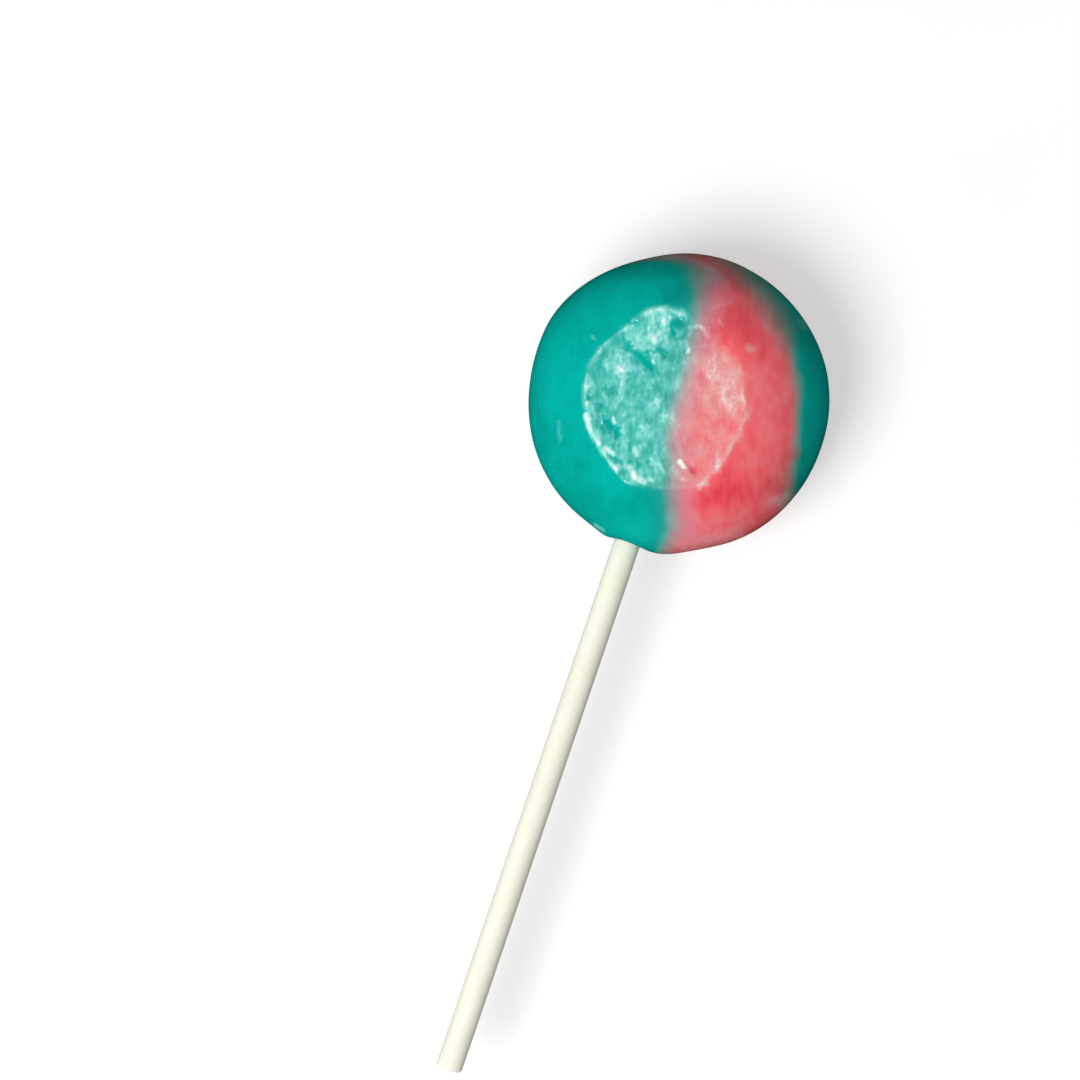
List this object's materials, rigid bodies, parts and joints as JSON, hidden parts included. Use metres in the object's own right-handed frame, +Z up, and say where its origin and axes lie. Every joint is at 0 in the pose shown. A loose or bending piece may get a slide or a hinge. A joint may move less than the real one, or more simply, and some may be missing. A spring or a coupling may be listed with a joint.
{
  "type": "lollipop",
  "caption": "Flattened ball lollipop of teal and pink boiled sugar on a cream rolled paper stick, lying on its flat back.",
  "frame": {"origin": "middle of the flat facet on the back of the head, which the lollipop lies on", "axes": "+Z up out of the shown face, -Y along the stick from the head to its free end, +X to the right of the shown face with the stick pointing down"},
  "size_m": [0.0387, 0.1098, 0.0221],
  "materials": {
    "boiled_sugar": "glossy teal sugar with a soft-edged pink band, frosted on the pressed facets",
    "rolled_paper": "matt cream rolled paper"
  },
  "bodies": {
    "root": {"candy_head": "boiled_sugar", "paper_stick": "rolled_paper"}
  },
  "joints": []
}
